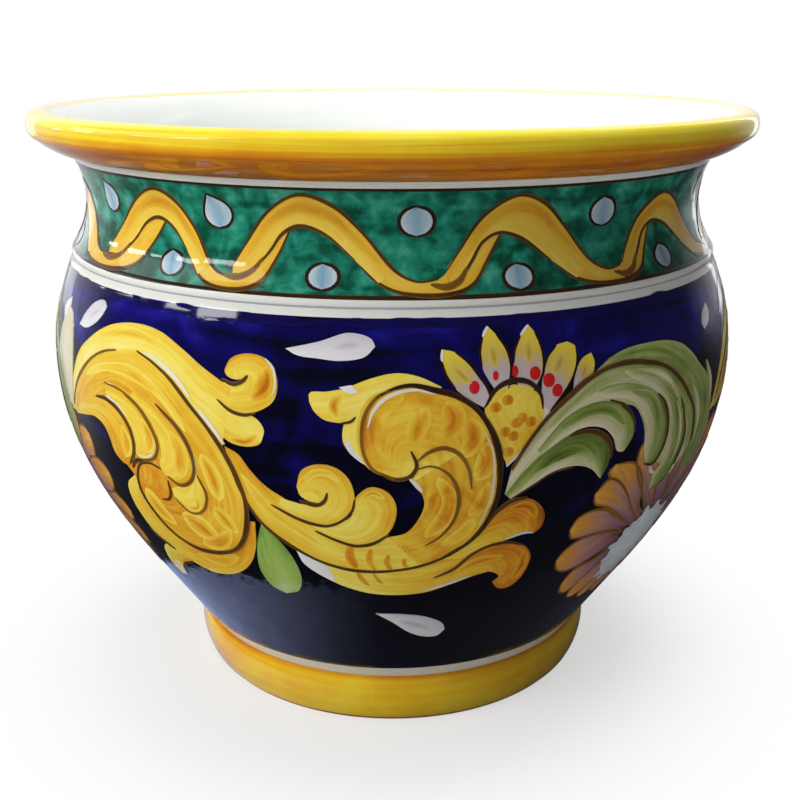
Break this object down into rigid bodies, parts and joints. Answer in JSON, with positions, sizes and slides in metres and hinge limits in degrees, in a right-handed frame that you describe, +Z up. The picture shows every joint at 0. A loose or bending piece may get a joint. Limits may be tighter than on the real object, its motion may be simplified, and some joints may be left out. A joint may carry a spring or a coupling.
{
  "type": "cachepot",
  "caption": "Bulbous glazed earthenware cachepot with a flared rolled rim, hollow neck, beaded shoulder, ring foot and painted leaf scrollwork.",
  "frame": {"origin": "on the surface the pot stands on, at the middle of its foot", "axes": "+Z up along the axis the pot is turned about; the painted front faces -Y"},
  "size_m": [0.3, 0.3, 0.2454],
  "materials": {
    "terracotta": "bare fired clay",
    "white_glaze": "glossy tin glaze",
    "yellow_glaze": "glossy brushed glaze",
    "green_glaze": "glossy mottled glaze",
    "cobalt_glaze": "glossy brushed glaze"
  },
  "bodies": {
    "root": {"bowl": "terracotta", "foot_ring": "terracotta", "rim_collar": "terracotta", "lining_glaze": "white_glaze", "rim_glaze": "yellow_glaze", "collar_line_glaze": "white_glaze", "neck_glaze": "green_glaze", "bead_glaze": "white_glaze", "belly_glaze": "cobalt_glaze", "foot_line_glaze": "white_glaze", "foot_glaze": "yellow_glaze"}
  },
  "joints": []
}
